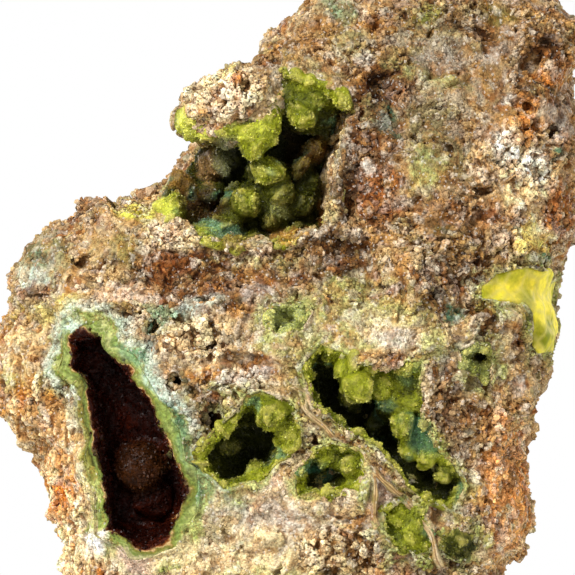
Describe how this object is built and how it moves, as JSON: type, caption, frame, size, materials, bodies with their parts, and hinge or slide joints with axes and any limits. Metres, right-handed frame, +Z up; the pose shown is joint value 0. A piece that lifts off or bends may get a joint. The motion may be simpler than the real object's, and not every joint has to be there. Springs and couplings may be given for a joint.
{
  "type": "variscite specimen",
  "caption": "Crumbly phosphate rock specimen that stands on a broken base, with deep hollows lined by lumpy green crusts, a dark banded pocket and a yellow vein.",
  "frame": {"origin": "on the plane of the broken base, under the middle of the front face's width", "axes": "+Z up from the base, -Y out of the front face with the hollows, +X to the right as seen from the front"},
  "size_m": [0.0648, 0.0386, 0.0724],
  "materials": {
    "rock": "rough, crumbly, mottled tan, rust and ochre",
    "green_crust": "waxy to glassy botryoidal yellow-green",
    "banded_crust": "banded green rim over a dark brown druse",
    "yellow_vein": "waxy translucent yellow-green"
  },
  "bodies": {
    "root": {"rock": "rock", "upper_crust": "green_crust", "dark_pocket_crust": "banded_crust", "slot_crust": "green_crust", "left_bowl_crust": "green_crust", "right_bowl_crust": "green_crust", "small_pocket_crust": "green_crust", "pit_crust": "green_crust", "lower_patch_crust": "green_crust", "lower_edge_crust": "green_crust", "yellow_vein": "yellow_vein"}
  },
  "joints": []
}
